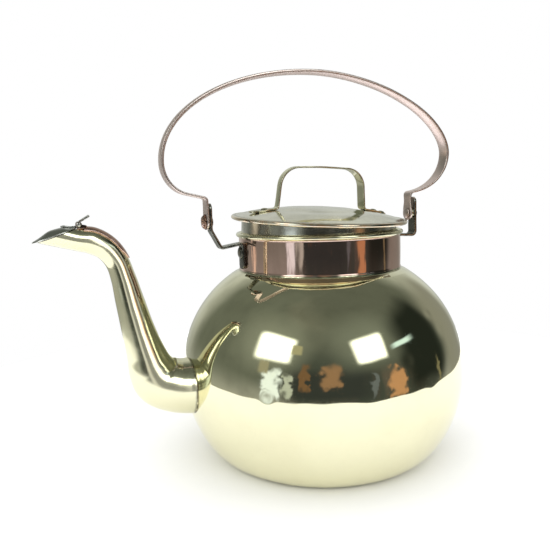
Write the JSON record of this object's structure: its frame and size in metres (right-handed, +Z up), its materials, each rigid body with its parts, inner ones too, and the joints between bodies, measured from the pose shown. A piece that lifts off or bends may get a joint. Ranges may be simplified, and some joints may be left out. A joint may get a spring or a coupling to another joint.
{
  "type": "gooseneck kettle",
  "caption": "Round-bellied brass kettle with a copper neck band, swan-neck spout with a hinged mouth flap, lift-off lid and swinging copper bail handle.",
  "frame": {"origin": "centre of the flat base, on the surface the kettle stands on", "axes": "+Z up along the belly's axis; the spout points to -X; the bail handle and the lid handle lie in the XZ plane at rest; the bail swings about X"},
  "size_m": [0.2989, 0.2, 0.2658],
  "materials": {
    "polished_brass": "polished",
    "copper_sheet": "polished",
    "tinned_plate": "satin"
  },
  "bodies": {
    "vessel": {"body_shell": "polished_brass", "base_disc": "polished_brass", "neck_ring": "polished_brass", "neck_rim_wire": "tinned_plate", "copper_band": "copper_sheet", "spout": "polished_brass", "spout_hinge_strap": "copper_sheet", "flap_hinge_pin": "tinned_plate", "left_bracket": "polished_brass", "right_bracket": "polished_brass", "bracket_rivets": "polished_brass", "left_pivot_rivet": "polished_brass", "right_pivot_rivet": "polished_brass", "right_pivot_washer": "polished_brass"},
    "bail": {"handle": "copper_sheet"},
    "lid": {"lid_plate": "polished_brass", "lid_edge_wire": "tinned_plate", "lid_skirt": "polished_brass", "lid_handle": "polished_brass", "lid_rivets": "polished_brass"},
    "flap": {"spout_flap": "tinned_plate", "flap_hinge_leaf": "tinned_plate"}
  },
  "joints": [
    {"name": "bail_swing", "type": "hinge", "parent": "vessel", "child": "bail", "pos_m": [0, 0, 0.166], "axis": [1, 0, 0], "range_deg": [-118, 118]},
    {"name": "lid_lift", "type": "slide", "parent": "vessel", "child": "lid", "axis": [0, 0, 1], "range_m": [0, 0.055]},
    {"name": "flap_open", "type": "hinge", "parent": "vessel", "child": "flap", "pos_m": [-0.1622, 0, 0.1679], "axis": [0, 1, 0], "range_deg": [0, 45]}
  ]
}
